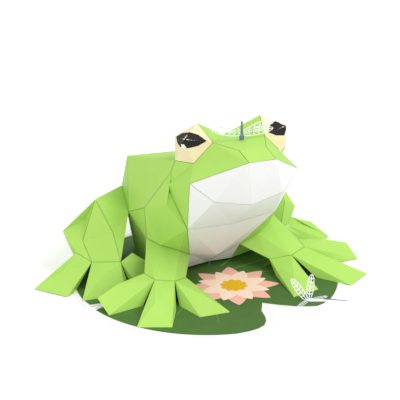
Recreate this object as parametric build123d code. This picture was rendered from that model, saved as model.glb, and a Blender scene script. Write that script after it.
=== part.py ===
from build123d import *
import os
from math import atan2, cos, degrees, radians, sin

import numpy as np

# A faceted paper frog sitting on a lily pad, with two cut-paper dragonflies.
# Millimetres, +Z up. The frog faces -Y, and its own right side is -X. The origin is on the
# surface that the pad lies on, under the middle of the body.

# Driving dimensions
CARD = 0.4  # thickness of the frog's card
SEAM = 0.2  # each piece stops this far from a glued seam
BEVEL = 0.7  # the inner face stops this much further back, so that folded-in edges clear
PAD_CARD = 0.5  # thickness of the lily pad's card
PAD_RADIUS = 138
PAD_CENTRE_X = -17
LOBE_BACK_Y = -90  # the corners of the wide notch in front of this are rounded
LOBE_RADIUS = 18
WING_PAPER = 0.5  # thickness of the dragonflies' paper
HEAD_TURN = 7  # degrees that the head looks towards the frog's right
HEAD_PIVOT_Y = -40
SNOUT_TOP = 157  # height of the snout where the dragonfly stands


def mirrored(point):
    """The same corner on the other side of the body."""
    return (-point[0], point[1], point[2])


def turned(point):
    """A corner given for a straight head, after the head is turned about its pivot."""
    x, y, z = point
    y -= HEAD_PIVOT_Y
    turn = radians(-HEAD_TURN)
    return (x * cos(turn) - y * sin(turn), HEAD_PIVOT_Y + x * sin(turn) + y * cos(turn), z)


def turned_direction(x, y):
    """A level direction of the straight head, after the head is turned."""
    turn = radians(-HEAD_TURN)
    return (x * cos(turn) - y * sin(turn), x * sin(turn) + y * cos(turn), 0)


# Corners of the head, for its left side before it is turned
HEAD_SIDE = {
    "eye_top": (33, -7, 168),
    "eye_back": (53, 3, 154),
    "eye_low": (59, -14, 135),
    "eye_corner": (46, -30, 136),
    "eye_nose": (27, -33, 156),
    "eye_apex": (54, -24, 160),
    "nose": (14, -67, 158),
    "lip": (14, -92, 154),
    "mouth": (57, -48, 123),
    "chin_side": (36, -59, 105),
}
HEAD_MIDDLE = {
    "crown": (0, 8, 147),
    "chin": (0, -67, 100),
}

# Corners of the body and of the front leg, for the left side
BODY_SIDE = {
    "neck_seam": (59, -5, 123),
    "neck": (63, -3, 110),
    "chest": (50, -22, 67),
    "hip_ridge": (60, 90, 109),
    "hip": (74, 60, 61),
    "shoulder_back": (75, 22, 79),
    "shoulder_front": (67, -10, 91),
    "rump": (54, 117, 66),
    "elbow_back": (72, 24, 45),
    "elbow_outer": (63, 12, 40),
    "elbow_front": (45, 5, 33),
    "elbow_inner": (29, 13, 22),
    "wrist_back": (89, -4, 21),
    "wrist_outer": (86, -21, 20),
    "wrist_front": (67, -27, 17),
    "wrist_inner": (48, -15, 12),
    "heel_back": (94, 2, 0),
    "heel_inner": (46, -6, 0),
    "belly_foot": (26, 24, 3),
    "flank_foot": (58, 32, 3),
    "hip_foot": (60, 72, 3),
    "rump_foot": (44, 108, 3),
}
BODY_MIDDLE = {
    "nape": (0, 26, 128),
    "back_end": (0, 100, 100),
    "rump_middle": (0, 130, 62),
    "tail_foot": (0, 118, 3),
    "throat": (0, -22, 63),
    "belly": (0, 8, 18),
    "belly_foot_middle": (0, 27, 3),
}

# Toes of the front foot, for the left side: knuckle, the two corners of the tip, and the two
# corners where the sides of the toe meet the ground at its root
FRONT_TOES = {
    "outer": ((119, -5, 16), (144, -11, 9), (143, -35, 0), (92, -4, 0), (104, -31, 0)),
    "middle": ((103, -55, 13), (131, -71, 0), (101, -87, 0), (105, -36, 0), (80, -55, 0)),
    "inner": ((50, -60, 10), (67, -80, 0), (36, -84, 0), (73, -48, 0), (46, -32, 0)),
}

# Corners of each hind leg, with the toes as for the front foot: the frog sits a little twisted,
# so that its two hind legs are not mirror images
HIND_RIGHT = {
    "knee": (-108, 66, 79),
    "shin_inner": (-100, 43, 49),
    "shin_outer": (-124, 64, 37),
    "calf": (-114, 77, 56),
    "heel": (-136, 86, 42),
    "ankle_outer": (-133, 60, 28),
    "ankle_middle": (-124, 43, 22),
    "ankle_inner": (-104, 18, 28),
    "ankle_body": (-87, 27, 31),
    "heel_foot": (-118, 92, 0),
    "thigh_foot": (-74, 92, 2),
}
HIND_RIGHT_TOES = {
    "outer": ((-148, 57, 14), (-182, 56, 0), (-161, 23, 0), (-142, 72, 0), (-145, 35, 0)),
    "middle": ((-122, 15, 21), (-152, 7, 0), (-108, 2, 0), (-134, 34, 0), (-97, 14, 0)),
    "inner": ((-75, 20, 22), (-88, 7, 0), (-68, 12, 0), (-94, 15, 0), (-72, 30, 0)),
}
HIND_LEFT = {
    "knee": (99, 54, 65),
    "shin_inner": (96, 36, 48),
    "shin_outer": (113, 43, 37),
    "calf": (107, 58, 46),
    "heel": (122, 66, 34),
    "ankle_outer": (108, 42, 26),
    "ankle_middle": (100, 34, 20),
    "ankle_inner": (86, 26, 25),
    "ankle_body": (77, 38, 28),
    "heel_foot": (112, 76, 0),
    "thigh_foot": (72, 84, 2),
}
HIND_LEFT_TOES = {
    "outer": ((134, 43, 14), (148, 30, 0), (140, 24, 0), (134, 60, 0), (114, 25, 0)),
    "middle": ((106, 17, 14), (122, 6, 0), (100, 8, 0), (106, 26, 0), (90, 16, 0)),
    "inner": ((72, 30, 16), (84, 14, 0), (68, 22, 0), (84, 22, 0), (70, 40, 0)),
}


def side_names(points, place, suffix):
    """Corners with a side's suffix, each put through place."""
    return {name + suffix: place(point) for name, point in points.items()}


def frog_corners():
    """Every corner of the head, body and front legs, by name."""
    corners = side_names(HEAD_SIDE, turned, "_l")
    corners |= side_names(HEAD_SIDE, lambda point: turned(mirrored(point)), "_r")
    corners |= side_names(HEAD_MIDDLE, turned, "")
    corners |= side_names(BODY_SIDE, lambda point: point, "_l")
    corners |= side_names(BODY_SIDE, mirrored, "_r")
    return corners | BODY_MIDDLE


def facet_normal(corners, facet):
    a, b, c = (corners[name] for name in facet)
    normal = np.cross(b - a, c - a)
    return normal / np.linalg.norm(normal)


def facing_out(corners, facet, inside):
    """The facet's corners in the order that makes it face away from the inside point."""
    outward = corners[facet[0]] - inside
    if np.dot(facet_normal(corners, facet), outward) < 0:
        return (facet[0], facet[2], facet[1])
    return facet


def edges_of(facet):
    return list(zip(facet, facet[1:] + facet[:1]))


def one_sided(corners, facets, inside):
    """The facets of one sheet, all facing the side that the first one faces, away from inside."""
    sheet = [facing_out(corners, facets[0], inside)]
    waiting = list(facets[1:])
    while waiting:
        taken = {edge for facet in sheet for edge in edges_of(facet)}
        for facet in waiting:
            flipped = (facet[0], facet[2], facet[1])
            if taken & set(edges_of(facet)):
                sheet.append(flipped)
                break
            if taken & set(edges_of(flipped)):
                sheet.append(facet)
                break
        else:
            raise ValueError("the facets do not form one sheet")
        waiting.remove(facet)
    return sheet


def free_edges(facets):
    """Directed edges that only one facet has, each with its facet."""
    owner = {}
    for facet in facets:
        for edge in edges_of(facet):
            owner[edge] = facet
    return {edge: facet for edge, facet in owner.items() if (edge[1], edge[0]) not in owner}


def moved_corner(name, corners, facets, edges, depth, setback):
    """A corner moved to depth below each facet round it and setback in from each free edge."""
    rows = []
    wanted = []
    for facet in facets:
        if name in facet:
            rows.append(facet_normal(corners, facet))
            wanted.append(-depth)
    for edge, facet in edges.items():
        if name in edge:
            along = corners[edge[1]] - corners[edge[0]]
            inward = np.cross(facet_normal(corners, facet), along)
            rows.append(inward / np.linalg.norm(inward))
            wanted.append(setback)
    move = np.linalg.lstsq(np.array(rows), np.array(wanted), rcond=0.12)[0]
    longest = 3 * (depth + setback)
    length = np.linalg.norm(move)
    if length > longest:
        move *= longest / length
    return corners[name] + move


def folded_card(points, facets, inside):
    """A sheet of card folded along the edges that its triangular facets share."""
    corners = {name: np.array(point, float) for name, point in points.items()}
    inside = np.array(inside, float)
    facets = one_sided(corners, facets, inside)
    edges = free_edges(facets)
    used = sorted({name for facet in facets for name in facet})
    outer = {name: moved_corner(name, corners, facets, edges, 0, SEAM) for name in used}
    inner = {
        name: moved_corner(name, corners, facets, edges, CARD, SEAM + BEVEL) for name in used
    }
    triangles = [[outer[name] for name in facet] for facet in facets]
    triangles += [[inner[name] for name in reversed(facet)] for facet in facets]
    for start, end in edges:
        triangles.append([outer[end], outer[start], inner[start]])
        triangles.append([outer[end], inner[start], inner[end]])
    lift = np.array((0, 0, PAD_CARD))
    faces = [
        Face(Wire.make_polygon([tuple(corner + lift) for corner in triangle], close=True))
        for triangle in triangles
    ]
    return Solid(Shell(faces))


def with_suffix(facets, suffix, middle):
    """Facets whose side corners get a suffix, and whose middle corners keep their names."""
    return [tuple(name if name in middle else name + suffix for name in facet) for facet in facets]


MIDDLE = set(HEAD_MIDDLE) | set(BODY_MIDDLE)
INSIDE_HEAD = (0, -30, 135)
INSIDE_BODY = (0, 40, 60)

CHEEK = [
    ("eye_nose", "nose", "lip"),
    ("eye_nose", "lip", "eye_corner"),
    ("eye_corner", "lip", "mouth"),
    ("eye_corner", "mouth", "neck"),
    ("eye_low", "eye_corner", "neck"),
    ("neck", "mouth", "chest"),
]
EYE = [
    ("eye_top", "eye_back", "eye_apex"),
    ("eye_back", "eye_low", "eye_apex"),
    ("eye_low", "eye_corner", "eye_apex"),
    ("eye_corner", "eye_nose", "eye_apex"),
    ("eye_nose", "eye_top", "eye_apex"),
]
HEAD_BACK = [
    ("eye_top", "crown", "nape"),
    ("eye_top", "nape", "eye_back"),
    ("eye_back", "nape", "eye_low"),
]
CHIN = [
    ("mouth", "lip", "chin_side"),
    ("lip", "chin", "chin_side"),
]
THROAT = [
    ("mouth", "chin_side", "chest"),
    ("chin_side", "chin", "throat"),
    ("chin_side", "throat", "chest"),
]
BELLY = [
    ("chest", "throat", "belly"),
    ("chest", "belly", "elbow_inner"),
]
BELLY_BASE = [
    ("elbow_inner", "belly", "belly_foot_middle"),
    ("elbow_inner", "belly_foot_middle", "belly_foot"),
]
BACK = [
    ("hip_ridge", "nape", "eye_low"),
    ("hip_ridge", "eye_low", "neck_seam"),
    ("hip_ridge", "neck_seam", "hip"),
    ("neck_seam", "shoulder_back", "hip"),
    ("hip_ridge", "back_end", "nape"),
]
RUMP = [
    ("hip_ridge", "rump", "hip"),
    ("hip_ridge", "back_end", "rump_middle"),
    ("hip_ridge", "rump_middle", "rump"),
    ("rump", "rump_middle", "tail_foot"),
    ("rump", "tail_foot", "rump_foot"),
]
SHOULDER = [
    ("neck_seam", "neck", "shoulder_front"),
    ("neck_seam", "shoulder_front", "shoulder_back"),
    ("neck", "chest", "shoulder_front"),
    ("shoulder_back", "shoulder_front", "elbow_outer"),
    ("shoulder_front", "chest", "elbow_outer"),
    ("shoulder_back", "elbow_outer", "elbow_back"),
    ("chest", "elbow_front", "elbow_outer"),
    ("chest", "elbow_inner", "elbow_front"),
]
FLANK = [
    ("hip", "shoulder_back", "elbow_back"),
    ("hip", "elbow_back", "flank_foot"),
    ("hip", "flank_foot", "hip_foot"),
    ("hip", "hip_foot", "rump"),
    ("rump", "hip_foot", "rump_foot"),
    ("elbow_back", "elbow_inner", "belly_foot"),
    ("elbow_back", "belly_foot", "flank_foot"),
]
BASE = [
    ("belly_foot_middle", "belly_foot", "tail_foot"),
    ("belly_foot", "flank_foot", "tail_foot"),
    ("flank_foot", "hip_foot", "tail_foot"),
    ("hip_foot", "rump_foot", "tail_foot"),
]
FOREARM = [
    ("elbow_back", "elbow_outer", "wrist_outer"),
    ("elbow_back", "wrist_outer", "wrist_back"),
    ("elbow_outer", "elbow_front", "wrist_front"),
    ("elbow_outer", "wrist_front", "wrist_outer"),
    ("elbow_front", "elbow_inner", "wrist_inner"),
    ("elbow_front", "wrist_inner", "wrist_front"),
    ("elbow_inner", "elbow_back", "wrist_back"),
    ("elbow_inner", "wrist_back", "wrist_inner"),
    ("wrist_back", "heel_back", "heel_inner"),
    ("wrist_back", "heel_inner", "wrist_inner"),
]
THIGH = [
    ("rump", "knee", "hip"),
    ("knee", "shin_inner", "hip"),
    ("hip", "shin_inner", "ankle_inner"),
    ("rump", "thigh_foot", "knee"),
    ("hip", "ankle_inner", "thigh_foot"),
    ("hip", "thigh_foot", "rump"),
]
SHIN = [
    ("knee", "shin_outer", "shin_inner"),
    ("shin_outer", "ankle_middle", "shin_inner"),
    ("shin_inner", "ankle_middle", "ankle_inner"),
]
HEEL = [
    ("calf", "heel", "shin_outer"),
    ("shin_outer", "heel", "ankle_outer"),
    ("shin_outer", "ankle_outer", "ankle_middle"),
    ("knee", "calf", "shin_outer"),
    ("knee", "heel", "calf"),
    ("knee", "thigh_foot", "heel"),
    ("thigh_foot", "heel_foot", "heel"),
    ("heel", "heel_foot", "ankle_outer"),
]
TOE = [
    ("root_left", "root_right", "knuckle"),
    ("root_left", "knuckle", "tip_left"),
    ("root_right", "tip_right", "knuckle"),
    ("knuckle", "tip_right", "tip_left"),
    ("root_left", "tip_left", "ground_left"),
    ("root_right", "ground_right", "tip_right"),
]


def both_sides(facets):
    """One sheet that runs across the middle of the body."""
    return with_suffix(facets, "_l", MIDDLE) + with_suffix(facets, "_r", MIDDLE)


def head_pieces(corners):
    top = [("crown", "eye_top_l", "eye_nose_l"), ("crown", "eye_nose_r", "eye_top_r")]
    top += [("crown", "eye_nose_l", "eye_nose_r")]
    top += [("eye_nose_r", "eye_nose_l", "nose_r"), ("eye_nose_l", "nose_l", "nose_r")]
    top += [("nose_r", "nose_l", "lip_r"), ("nose_l", "lip_l", "lip_r")]
    pieces = {
        "head_top": folded_card(corners, top, INSIDE_HEAD),
        "head_back": folded_card(corners, both_sides(HEAD_BACK), INSIDE_HEAD),
        "chin": folded_card(corners, both_sides(CHIN) + [("lip_l", "chin", "lip_r")], INSIDE_HEAD),
    }
    for side, suffix in (("left", "_l"), ("right", "_r")):
        cheek = with_suffix(CHEEK, suffix, MIDDLE)
        eye = with_suffix(EYE, suffix, MIDDLE)
        pieces["cheek_" + side] = folded_card(corners, cheek, INSIDE_HEAD)
        pieces["eye_" + side] = folded_card(corners, eye, INSIDE_HEAD)
    return pieces


def body_pieces(corners):
    pieces = {
        "throat": folded_card(corners, both_sides(THROAT), INSIDE_BODY),
        "belly": folded_card(corners, both_sides(BELLY), INSIDE_BODY),
        "belly_base": folded_card(corners, both_sides(BELLY_BASE), INSIDE_BODY),
        "back": folded_card(corners, both_sides(BACK), INSIDE_BODY),
        "rump": folded_card(corners, both_sides(RUMP), INSIDE_BODY),
        "body_base": folded_card(corners, both_sides(BASE), INSIDE_BODY),
    }
    for side, suffix in (("left", "_l"), ("right", "_r")):
        shoulder = with_suffix(SHOULDER, suffix, MIDDLE)
        flank = with_suffix(FLANK, suffix, MIDDLE)
        pieces["shoulder_" + side] = folded_card(corners, shoulder, (0, 30, 70))
        pieces["flank_" + side] = folded_card(corners, flank, INSIDE_BODY)
    return pieces


def middle_of(corners, names):
    """The mean of some corners, used as a point inside the limb that they bound."""
    return tuple(np.mean([corners[name] for name in names], axis=0))


def toe_piece(corners, root_left, root_right, toe):
    """A hollow wedge with an open underside, from two root corners to its tip."""
    names = ("knuckle", "tip_left", "tip_right", "ground_left", "ground_right")
    points = dict(zip(names, toe))
    points["root_left"] = corners[root_left]
    points["root_right"] = corners[root_right]
    low = np.mean([points[name] for name in points], axis=0)
    return folded_card(points, TOE, (low[0], low[1], 0))


def front_leg_pieces(corners, side, suffix):
    ring = [name + suffix for name in ("elbow_back", "elbow_front", "wrist_back", "wrist_inner")]
    forearm = with_suffix(FOREARM, suffix, MIDDLE)
    pieces = {"forearm_" + side: folded_card(corners, forearm, middle_of(corners, ring))}
    roots = ("wrist_back", "wrist_outer", "wrist_front", "wrist_inner")
    for index, (name, toe) in enumerate(FRONT_TOES.items()):
        if suffix == "_r":
            toe = [mirrored(point) for point in toe]
        first, second = roots[index] + suffix, roots[index + 1] + suffix
        pieces[f"front_toe_{name}_{side}"] = toe_piece(corners, first, second, toe)
    return pieces


def hind_leg_pieces(corners, side, suffix, leg, toes):
    points = dict(leg)
    points["rump"] = corners["rump" + suffix]
    points["hip"] = corners["hip" + suffix]
    inside = middle_of(points, ("rump", "hip", "shin_inner", "heel_foot", "thigh_foot"))
    pieces = {
        "thigh_" + side: folded_card(points, THIGH, inside),
        "shin_" + side: folded_card(points, SHIN, inside),
        "heel_" + side: folded_card(points, HEEL, inside),
    }
    roots = ("ankle_outer", "ankle_middle", "ankle_inner", "ankle_body")
    for index, (name, toe) in enumerate(toes.items()):
        toe_card = toe_piece(points, roots[index], roots[index + 1], toe)
        pieces[f"hind_toe_{name}_{side}"] = toe_card
    return pieces


def lily_pad():
    """A round leaf with a wide rounded notch at the front and a narrow one at its right."""
    centre = Pos(PAD_CENTRE_X, 0)
    leaf = centre * Circle(PAD_RADIUS)
    wide = make_face(Polyline((6, -84), (-14, -150), (46, -150), close=True))
    narrow = make_face(Polyline((-118, -9), (-160, -8), (-160, -14), close=True))
    leaf = leaf - wide - narrow
    front_lobes = [corner for corner in leaf.vertices() if corner.Y < LOBE_BACK_Y]
    leaf = fillet(front_lobes, LOBE_RADIUS)
    return extrude(leaf, PAD_CARD)


def wing(root, tip, width):
    """A slim oval wing from its root to its tip, flat in the plane's own x and y."""
    length = (Vector(*tip) - Vector(*root)).length
    angle = degrees(atan2(tip[1] - root[1], tip[0] - root[0]))
    middle = ((root[0] + tip[0]) / 2, (root[1] + tip[1]) / 2)
    return Pos(*middle) * Rot(0, 0, angle) * Ellipse(length / 2, width / 2)


def outline(points):
    return make_face(Polyline(*points, close=True))


def nose_dragonfly():
    """A dragonfly that stands on the snout, its wings spread to both sides."""
    sheet = outline(((-4, 0), (4, 0), (3, 6), (1, 19), (-1, 19), (-3, 6)))
    sheet += wing((0, 7), (-34, 27), 8) + wing((0, 6), (-32, 15), 8)
    sheet += wing((0, 7), (36, 17), 8) + wing((0, 6), (33, 8), 8)
    x, y, z = turned((0, HEAD_PIVOT_Y, SNOUT_TOP + PAD_CARD + CARD))
    standing = Plane(origin=(x, y, z), x_dir=turned_direction(1, 0), z_dir=turned_direction(0, -1))
    return extrude(standing * sheet, WING_PAPER / 2, both=True)


def pad_dragonfly():
    """A dragonfly that lies on the pad, with one pair of wings flat and one pair raised."""
    flat = outline(((41, -94), (47, -94), (49, -99), (77, -117), (70, -116), (45, -101)))
    flat += wing((44, -97), (27, -106), 5) + wing((45, -98), (66, -98), 6)
    lying = extrude(flat, WING_PAPER)
    pair = wing((-1, 0), (-13, 24), 8) + wing((1, 0), (11, 24), 8)
    pair = pair & Pos(0, 20) * Rectangle(60, 40)
    raised_plane = Plane(origin=(44, -97, WING_PAPER), x_dir=(1, 0, 0), z_dir=(0, -2, 1))
    raised = extrude(raised_plane * pair, WING_PAPER / 2, both=True)
    above = Pos(44, -97, 20) * Box(100, 100, 40)
    return Pos(0, 0, PAD_CARD) * (lying + (raised & above))


def export(pieces):
    os.makedirs("parts", exist_ok=True)
    for name, shape in pieces.items():
        shape.label = name
        export_step(shape, f"parts/{name}.step")


corners = frog_corners()
pieces = head_pieces(corners) | body_pieces(corners)
pieces |= front_leg_pieces(corners, "right", "_r")
pieces |= front_leg_pieces(corners, "left", "_l")
pieces |= hind_leg_pieces(corners, "right", "_r", HIND_RIGHT, HIND_RIGHT_TOES)
pieces |= hind_leg_pieces(corners, "left", "_l", HIND_LEFT, HIND_LEFT_TOES)
pieces["lily_pad"] = lily_pad()
pieces["nose_dragonfly"] = nose_dragonfly()
pieces["pad_dragonfly"] = pad_dragonfly()
export(pieces)
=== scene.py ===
from math import cos, pi, radians, sin

import bpy
import numpy as np
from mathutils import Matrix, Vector
from mathutils.bvhtree import BVHTree


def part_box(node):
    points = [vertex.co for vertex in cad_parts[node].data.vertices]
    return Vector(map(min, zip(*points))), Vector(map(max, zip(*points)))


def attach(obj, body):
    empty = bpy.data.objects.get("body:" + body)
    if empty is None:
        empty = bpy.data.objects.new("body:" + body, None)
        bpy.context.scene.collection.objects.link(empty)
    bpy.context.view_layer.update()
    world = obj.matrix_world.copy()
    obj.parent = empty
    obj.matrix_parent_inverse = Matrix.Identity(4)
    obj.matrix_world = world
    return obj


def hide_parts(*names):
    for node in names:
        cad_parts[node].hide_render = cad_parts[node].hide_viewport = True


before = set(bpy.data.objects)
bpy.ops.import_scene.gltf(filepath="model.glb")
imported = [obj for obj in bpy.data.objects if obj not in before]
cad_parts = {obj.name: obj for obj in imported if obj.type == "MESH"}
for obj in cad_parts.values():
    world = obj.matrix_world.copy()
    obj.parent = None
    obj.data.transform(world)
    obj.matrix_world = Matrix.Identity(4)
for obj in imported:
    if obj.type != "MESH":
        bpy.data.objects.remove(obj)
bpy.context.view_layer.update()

# A faceted frog of green and white card on a printed lily pad, with two cut-paper
# dragonflies. Metres, +Z up, the frog faces -Y.

MM = 0.001
PRINT_LIFT = 0.15 * MM  # printed shapes are drawn this far above their card
PAD_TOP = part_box("lily_pad")[1][2]
HEAD_TURN = radians(-7)
HEAD_PIVOT_Y = -40

# Card colours, as seen in even light
FRESH_GREEN = "A8D460"
WHITE_CARD = "E9E8E8"
EYE_BEIGE = "E9DAB0"
PUPIL_BLACK = "141414"
LEAF_GREEN = "456B2C"
LEAF_VEIN = "6F9A4C"
PETAL_OUTER = "EFB4A6"
PETAL_INNER = "F5D9C4"
FLOWER_YELLOW = "E0AE10"
WING_WHITE = "F2F3F4"
DRAGON_BLUE = "6C7B90"
FLOOR_WHITE = "FFFFFF"


def linear(hex_colour):
    """An sRGB hex colour as linear RGBA."""
    values = [int(hex_colour[i : i + 2], 16) / 255 for i in (0, 2, 4)]
    return [v / 12.92 if v <= 0.04045 else ((v + 0.055) / 1.055) ** 2.4 for v in values] + [1]


def add_node(tree, kind, inputs=None, **settings):
    """A new node with its settings, its constant inputs and its links made."""
    node = tree.nodes.new(kind)
    for name, value in settings.items():
        setattr(node, name, value)
    for name, value in (inputs or {}).items():
        if isinstance(value, bpy.types.NodeSocket):
            tree.links.new(value, node.inputs[name])
        else:
            node.inputs[name].default_value = value
    return node


CARD_IOR = 1.5
CARD_SPECULAR = 0.3  # uncoated fibres scatter, so the sheen is weak
CLOUD_SCALE = 60.0  # faint unevenness in the colour, about 17 mm across
GRAIN_SCALE = 3000.0  # the felt-like grain, about 0.3 mm across
GRAIN_DEPTH = 0.05 * MM


def card_material(name, colour, roughness=0.6, variation=0.03):
    """Uncoated card: matt, with a faint cloudiness and a fine felt-like grain."""
    material = bpy.data.materials.new(name)
    material.use_nodes = True
    tree = material.node_tree
    shader = tree.nodes["Principled BSDF"]
    shader.inputs["Roughness"].default_value = roughness
    shader.inputs["IOR"].default_value = CARD_IOR
    shader.inputs["Specular IOR Level"].default_value = CARD_SPECULAR
    place = add_node(tree, "ShaderNodeTexCoord")
    cloud = add_node(
        tree,
        "ShaderNodeTexNoise",
        {"Vector": place.outputs["Object"], "Scale": CLOUD_SCALE},
    )
    base = linear(colour)
    dark = [c * (1 - variation) for c in base[:3]] + [1]
    light = [min(1, c * (1 + variation)) for c in base[:3]] + [1]
    ramp = add_node(tree, "ShaderNodeValToRGB", {"Fac": cloud.outputs["Fac"]})
    ramp.color_ramp.elements[0].color = dark
    ramp.color_ramp.elements[1].color = light
    tree.links.new(ramp.outputs["Color"], shader.inputs["Base Color"])
    grain = add_node(
        tree,
        "ShaderNodeTexNoise",
        {"Vector": place.outputs["Object"], "Scale": GRAIN_SCALE, "Detail": 3.0},
    )
    bump = add_node(
        tree,
        "ShaderNodeBump",
        {"Height": grain.outputs["Fac"], "Strength": 0.15, "Distance": GRAIN_DEPTH},
    )
    tree.links.new(bump.outputs["Normal"], shader.inputs["Normal"])
    return material


def mesh_piece(name, points, faces, material):
    """A mesh from points in metres, riding on the object's one body."""
    mesh = bpy.data.meshes.new(name)
    mesh.from_pydata([tuple(p) for p in points], [], faces)
    mesh.materials.append(material)
    piece = bpy.data.objects.new(name, mesh)
    bpy.context.scene.collection.objects.link(piece)
    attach(piece, "root")
    return piece


def turned(point):
    """A point of the straight head in mm, after the head is turned, in metres on the pad."""
    x, y, z = point
    y -= HEAD_PIVOT_Y
    x, y = x * cos(HEAD_TURN) - y * sin(HEAD_TURN), x * sin(HEAD_TURN) + y * cos(HEAD_TURN)
    return np.array((x * MM, (HEAD_PIVOT_Y + y) * MM, z * MM + PAD_TOP))


def flat_shape(name, outline, z, material):
    """A printed shape lying flat, as a fan round its middle."""
    outline = [(x * MM, y * MM, z) for x, y in outline]
    middle = tuple(np.mean(outline, axis=0))
    count = len(outline)
    faces = [(i, (i + 1) % count, count) for i in range(count)]
    return mesh_piece(name, outline + [middle], faces, material)


def petal(angle, length, width):
    """A pointed petal from the flower's middle, as an outline in mm."""
    half = []
    for step in range(PETAL_STEPS + 1):
        part = step / PETAL_STEPS
        half.append((length * part, width / 2 * sin(pi * part**0.85) ** 0.8))
    other_half = [(x, -y) for x, y in half[-2:0:-1]]
    return [
        (x * cos(angle) - y * sin(angle) + FLOWER_X, x * sin(angle) + y * cos(angle) + FLOWER_Y)
        for x, y in half + other_half
    ]


FLOWER_X = -3
FLOWER_Y = -32
PETALS = 8
PETAL_STEPS = 24
PETAL_OUTER_WIDTH = 22
PETAL_INNER_WIDTH = 18
PETAL_OUTER_R = 46
PETAL_INNER_R = 37
DISC_R = 13

green = card_material("uncoated green card", FRESH_GREEN)
white = card_material("uncoated white card", WHITE_CARD, variation=0.01)
beige = card_material("uncoated beige card", EYE_BEIGE)
leaf = card_material("printed leaf card", LEAF_GREEN, variation=0.12)
wing = card_material("cut white paper", WING_WHITE, variation=0.01)
pupil = card_material("black printed card", PUPIL_BLACK)
glint = card_material("white printed card", WHITE_CARD, variation=0.01)
vein = card_material("printed leaf vein", LEAF_VEIN)
outer_petal = card_material("pink printed card", PETAL_OUTER)
inner_petal = card_material("pale pink printed card", PETAL_INNER)
yellow = card_material("yellow printed card", FLOWER_YELLOW)
blue = card_material("blue printed paper", DRAGON_BLUE)

for name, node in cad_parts.items():
    material = green
    if name in ("chin", "throat", "belly", "belly_base", "body_base", "lily_pad"):
        material = white
    elif name.startswith("eye_"):
        material = beige
    elif name.endswith("dragonfly"):
        material = wing
    for material_slot in node.material_slots:
        material_slot.material = material
    if not node.material_slots:
        node.data.materials.append(material)

# The leaf's green print leaves a white rim on the card
PAD_X = -17
PRINT_R = 133
NOTCH = (2, -80)
NARROW_NOTCH = (-112, -10)


def leaf_print():
    """The print's outline in mm: a circle with a wide notch in front and a narrow one beside."""
    outline = [NOTCH, (14, -92), (26, -102), (38, -109), (46, -112), (54, -110)]
    for degrees in range(-52, 179, 3):
        angle = radians(degrees)
        outline.append((PAD_X + PRINT_R * cos(angle), PRINT_R * sin(angle)))
    outline += [(-149, -4), NARROW_NOTCH, (-148, -17)]
    for degrees in range(188, 257, 3):
        angle = radians(degrees)
        outline.append((PAD_X + PRINT_R * cos(angle), PRINT_R * sin(angle)))
    return outline + [(-40, -129), (-30, -128), (-21, -124), (-15, -117), (-11, -108), (-8, -96)]


flat_shape("leaf_print", leaf_print(), PAD_TOP + 0.5 * PRINT_LIFT, leaf)

VEINS = 13
VEIN_START = 30
VEIN_END = 118
VEIN_HALF_WIDTH = 0.9
for index in range(VEINS):
    angle = radians(-40 + index * 24)
    x, y = cos(angle), sin(angle)
    side_x, side_y = -y * VEIN_HALF_WIDTH, x * VEIN_HALF_WIDTH
    points = [
        (PAD_X + x * VEIN_START + side_x, y * VEIN_START + side_y),
        (PAD_X + x * VEIN_END, y * VEIN_END),
        (PAD_X + x * VEIN_START - side_x, y * VEIN_START - side_y),
    ]
    flat_shape(f"leaf_vein_{index}", points, PAD_TOP + PRINT_LIFT, vein)

# Each petal lies a little above the one before it, so that no two faces share a plane
for index in range(PETALS):
    angle = 2 * pi * index / PETALS
    step = 0.05 * index
    shape = petal(angle + pi / PETALS, PETAL_OUTER_R, PETAL_OUTER_WIDTH)
    height = PAD_TOP + (2 + step) * PRINT_LIFT
    flat_shape(f"flower_outer_petal_{index}", shape, height, outer_petal)
    shape = petal(angle, PETAL_INNER_R, PETAL_INNER_WIDTH)
    height = PAD_TOP + (3 + step) * PRINT_LIFT
    flat_shape(f"flower_inner_petal_{index}", shape, height, inner_petal)

DISC_POINTS = 80
SCALLOPS = 10
SCALLOP_DEPTH = 0.08
disc = []
for angle in np.linspace(0, 2 * pi, DISC_POINTS, endpoint=False):
    radius = DISC_R * (1 + SCALLOP_DEPTH * cos(SCALLOPS * angle))
    disc.append((FLOWER_X + radius * cos(angle), FLOWER_Y + radius * sin(angle)))
flat_shape("flower_disc", disc, PAD_TOP + 4 * PRINT_LIFT, yellow)

# The eyes' prints, drawn on the card: outlines in mm for the left side of a straight head
PUPIL = [
    (54, -2, 155),
    (48, -4, 159),
    (46, -16, 164),
    (38, -21, 161),
    (32, -31, 158),
    (41, -29, 153),
    (50, -27, 151),
    (56, -20, 151),
    (55, -10, 151),
]
GLINT_STREAK = [(54, -3, 155), (48, -5, 159), (47, -6, 159), (53, -4, 154)]
GLINT_SPOT = [(55, -21, 154), (52, -23, 154), (51, -26, 151), (55, -22, 150)]
EYE_MIDDLE = (40, -16, 150)  # the prints are drawn on the card from this point outwards
FINE = 12  # steps along each side of an outline, and rings from its middle
OUTSIDE = 0.1


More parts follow.
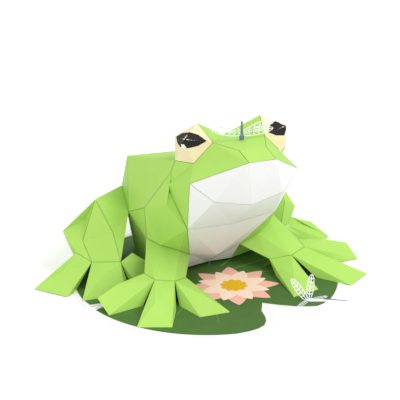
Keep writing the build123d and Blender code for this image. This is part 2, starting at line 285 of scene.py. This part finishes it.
def drawn_on(node_name, name, outline, side, lift, material):
    """An outline drawn on a CAD node's card, following its folds, as a fan of fine rings."""
    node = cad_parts[node_name]
    tree = BVHTree.FromObject(node, bpy.context.evaluated_depsgraph_get())
    start = Vector(turned((EYE_MIDDLE[0] * side, EYE_MIDDLE[1], EYE_MIDDLE[2])))
    middle = np.mean(outline, axis=0)
    edge = []
    for index, corner in enumerate(outline):
        following = outline[(index + 1) % len(outline)]
        for step in range(FINE):
            edge.append([a + (b - a) * step / FINE for a, b in zip(corner, following)])
    rings = []
    for ring in range(FINE + 1):
        for point in edge:
            x, y, z = (m + (p - m) * ring / FINE for m, p in zip(middle, point))
            direction = (Vector(turned((x * side, y, z))) - start).normalized()
            far = start + direction * OUTSIDE
            hit = tree.ray_cast(far, -direction)[0]
            card = hit if hit else start + direction * 20 * MM
            rings.append(np.array(card) + np.array(direction) * lift)
    count = len(edge)
    faces = []
    for ring in range(FINE):
        for index in range(count):
            a = ring * count + index
            b = ring * count + (index + 1) % count
            faces.append((a, b, b + count, a + count))
    return mesh_piece(name, rings, faces, material)


for side, name in ((1, "left"), (-1, "right")):
    eye = f"eye_{name}"
    drawn_on(eye, f"pupil_{name}", PUPIL, side, PRINT_LIFT, pupil)
    drawn_on(eye, f"glint_streak_{name}", GLINT_STREAK, side, 2 * PRINT_LIFT, glint)
    drawn_on(eye, f"glint_spot_{name}", GLINT_SPOT, side, 2 * PRINT_LIFT, glint)

# The dragonflies' wings are cut to a lattice of veins
WING_THICK = 0.3 * MM
BODY_THICK = 0.7 * MM
SNOUT_Z = 157.4
WING_SEGMENTS = 32
VEIN = 0.09  # a vein's width, as a part of the wing's width


def lattice_wing(name, root, tip, width, place):
    """A slim oval rim with a spine and cross veins. place turns the sheet's mm to metres."""
    root, tip = np.array(root, float), np.array(tip, float)
    length = np.linalg.norm(tip - root)
    along = (tip - root) / length
    across = np.array((-along[1], along[0]))
    points, faces = [], []

    def at(t, s):
        return root + along * length * (1 + t) / 2 + across * width * s / 2

    for index in range(WING_SEGMENTS):
        angle = 2 * pi * index / WING_SEGMENTS
        points += [at(cos(angle), sin(angle)), at(cos(angle) * 0.96, sin(angle) * (1 - 2 * VEIN))]
        a, b = 2 * index, 2 * ((index + 1) % WING_SEGMENTS)
        faces.append((a, b, b + 1, a + 1))

    def strip(t0, s0, t1, s1):
        start, end = at(t0, s0), at(t1, s1)
        side = np.array((-(end - start)[1], (end - start)[0]))
        side = side / np.linalg.norm(side) * width * VEIN / 2
        base = len(points)
        points.extend([start - side, end - side, end + side, start + side])
        faces.append((base, base + 1, base + 2, base + 3))

    strip(-1, 0, 1, 0)
    for t in (-0.6, -0.3, 0.0, 0.3, 0.6):
        half = (1 - t * t) ** 0.5
        strip(t, 0, t + 0.15, half * 0.93)
        strip(t, 0, t + 0.15, -half * 0.93)
    piece = mesh_piece(name, [place(p) for p in points], faces, wing)
    card = piece.modifiers.new("card", "SOLIDIFY")
    card.thickness = WING_THICK
    card.offset = 0
    return piece


def ball(name, centre, radius, material, flat=1.0, long=1.0):
    """A bead, stretched along X by long and flattened in Y by flat."""
    points, faces = [], []
    rows, columns = 10, 16
    for row in range(rows + 1):
        for column in range(columns):
            a, b = pi * row / rows, 2 * pi * column / columns
            offset = (
                radius * long * sin(a) * cos(b),
                radius * flat * sin(a) * sin(b),
                radius * cos(a),
            )
            points.append([c + o for c, o in zip(centre, offset)])
    for row in range(rows):
        for column in range(columns):
            a = row * columns + column
            b = row * columns + (column + 1) % columns
            faces.append((a, a + columns, b + columns, b))
    return mesh_piece(name, points, faces, material)


def on_nose(point):
    """A point of the sheet that stands on the snout."""
    return turned((point[0], HEAD_PIVOT_Y, SNOUT_Z + point[1]))


def strip_body(name, outline, place, material):
    """A dragonfly's body, cut from a strip of card."""
    piece = mesh_piece(name, [place(p) for p in outline], [tuple(range(len(outline)))], material)
    card = piece.modifiers.new("card", "SOLIDIFY")
    card.thickness = BODY_THICK
    card.offset = 0
    return piece


NOSE_BODY = [(-2.6, 0), (2.6, 0), (1.4, 6), (0.8, 18), (-0.8, 18), (-1.4, 6)]
nose_parts = [
    lattice_wing("nose_wing_upper_right", (0, 7), (-34, 27), 8, on_nose),
    lattice_wing("nose_wing_lower_right", (0, 6), (-32, 15), 8, on_nose),
    lattice_wing("nose_wing_upper_left", (0, 7), (36, 17), 8, on_nose),
    lattice_wing("nose_wing_lower_left", (0, 6), (33, 8), 8, on_nose),
    strip_body("nose_dragonfly_body", NOSE_BODY, on_nose, blue),
    ball("nose_dragonfly_head", on_nose((0, 3.4)), 2.2 * MM, blue, 0.5, 1.3),
    ball("nose_dragonfly_tail", on_nose((0, 18)), 1.2 * MM, blue),
]
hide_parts("nose_dragonfly")


def on_pad(point):
    """A point of the sheet that lies on the pad."""
    return np.array((point[0] * MM, point[1] * MM, PAD_TOP + 0.4 * MM))


WING_LEAN = radians(63)


def raised_wing(point):
    """A point of the raised wings' sheet, which leans back from the body."""
    x, y = point
    back, rise = y * cos(WING_LEAN), y * sin(WING_LEAN)
    return np.array(((44 + x) * MM, (-97 + back) * MM, PAD_TOP + (0.5 + rise) * MM))


def above_pad(point):
    return on_pad(point) + np.array((0, 0, 0.4 * MM))


PAD_BODY = [(42, -95), (46, -94), (77, -116.5), (76, -117), (44, -100)]
PAD_TAIL = [(58, -103.5), (60, -103), (77, -116.3), (76.5, -117)]
pad_parts = [
    lattice_wing("pad_wing_raised_right", (-1, 0), (-13, 24), 8, raised_wing),
    lattice_wing("pad_wing_raised_left", (1, 0), (11, 24), 8, raised_wing),
    lattice_wing("pad_wing_flat_left", (45, -98), (66, -98), 6, on_pad),
    lattice_wing("pad_wing_flat_right", (44, -97), (27, -106), 5, on_pad),
    strip_body("pad_dragonfly_body", PAD_BODY, on_pad, wing),
    strip_body("pad_dragonfly_tail", PAD_TAIL, above_pad, blue),
]
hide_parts("pad_dragonfly")

# Floor, light and camera
floor_mesh = bpy.data.meshes.new("floor")
FLOOR_HALF = 6.0
FLOOR_CORNERS = ((-1, -1), (1, -1), (1, 1), (-1, 1))
floor_mesh.from_pydata(
    [(x * FLOOR_HALF, y * FLOOR_HALF, 0) for x, y in FLOOR_CORNERS],
    [],
    [(0, 1, 2, 3)],
)
floor_mesh.materials.append(card_material("white studio paper", FLOOR_WHITE, 0.9, 0.0))
floor = bpy.data.objects.new("floor", floor_mesh)
bpy.context.scene.collection.objects.link(floor)
floor.location.z = -0.2 * MM


def area_light(name, place, size, power, target=(0, 0, 0.07)):
    """A round soft light that shines on the frog. size is in metres and power in watts."""
    lamp = bpy.data.lights.new(name, "AREA")
    lamp.shape = "DISK"
    lamp.size = size
    lamp.energy = power
    light = bpy.data.objects.new(name, lamp)
    light.location = place
    towards = Vector(target) - Vector(place)
    light.rotation_euler = towards.to_track_quat("-Z", "Y").to_euler()
    bpy.context.scene.collection.objects.link(light)
    return light


key = area_light("key", (0.9, -1.1, 1.6), 1.0, 20)
fill = area_light("fill", (-1.5, -1.0, 1.0), 1.6, 10)
top = area_light("top", (0, 0.5, 2.0), 2.0, 10)

world = bpy.data.worlds.new("studio")
world.use_nodes = True
world.node_tree.nodes["Background"].inputs["Color"].default_value = (1, 1, 1, 1)
world.node_tree.nodes["Background"].inputs["Strength"].default_value = 0.68
bpy.context.scene.world = world
bpy.context.scene.view_settings.view_transform = "Standard"

# The camera looks down at the frog from its front right
CAMERA_AZIMUTH = radians(-28.35)
CAMERA_ELEVATION = radians(22)
CAMERA_DISTANCE = 1.8
LOOK_AT = Vector((0, 0, 0.0805))
SHIFT_RIGHT = -0.02126
SHIFT_UP = 0.0006
right = Vector((cos(CAMERA_AZIMUTH), sin(CAMERA_AZIMUTH), 0))
forward = Vector(
    (
        -sin(CAMERA_AZIMUTH) * cos(CAMERA_ELEVATION),
        cos(CAMERA_AZIMUTH) * cos(CAMERA_ELEVATION),
        -sin(CAMERA_ELEVATION),
    )
)
up = right.cross(forward)
camera_data = bpy.data.cameras.new("camera")
camera_data.lens = 162
camera_data.sensor_width = 36
camera_data.clip_end = 50
camera = bpy.data.objects.new("camera", camera_data)
camera.location = LOOK_AT - forward * CAMERA_DISTANCE + right * SHIFT_RIGHT + up * SHIFT_UP
camera.rotation_euler = forward.to_track_quat("-Z", "Y").to_euler()
bpy.context.scene.collection.objects.link(camera)
bpy.context.scene.camera = camera

bpy.context.view_layer.update()
